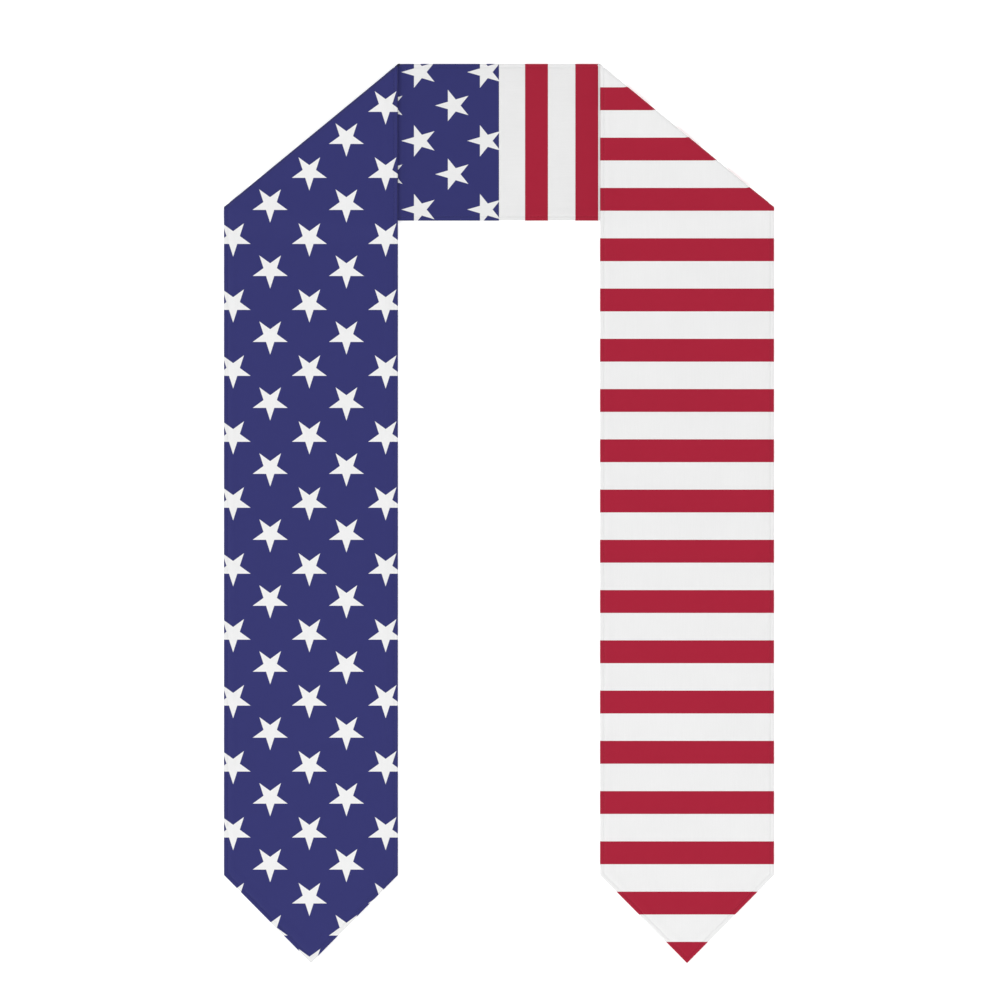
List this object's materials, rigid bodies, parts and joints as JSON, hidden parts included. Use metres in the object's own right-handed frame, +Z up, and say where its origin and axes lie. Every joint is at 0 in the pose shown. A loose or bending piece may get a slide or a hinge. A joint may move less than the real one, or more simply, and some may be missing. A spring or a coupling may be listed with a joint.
{
  "type": "graduation stole",
  "caption": "Printed satin graduation stole, half stars on navy and half red and white stripes, lying flat and folded over at both shoulders.",
  "frame": {"origin": "on the surface it lies on, under the middle of the stole's overall box", "axes": "+Y along the panels from their points up to the neck band, +X across the stole towards the striped panel, +Z up off the surface, towards the side of the panels that shows"},
  "size_m": [0.4806, 0.7856, 0.0056],
  "materials": {
    "star_satin": "printed polyester satin, white five-point stars on navy, tonal edge stitching",
    "stripe_satin": "printed polyester satin, red stripes across white, tonal edge stitching"
  },
  "bodies": {
    "root": {"star_face": "star_satin", "star_back": "star_satin", "stripe_face": "stripe_satin", "stripe_back": "stripe_satin"}
  },
  "joints": []
}
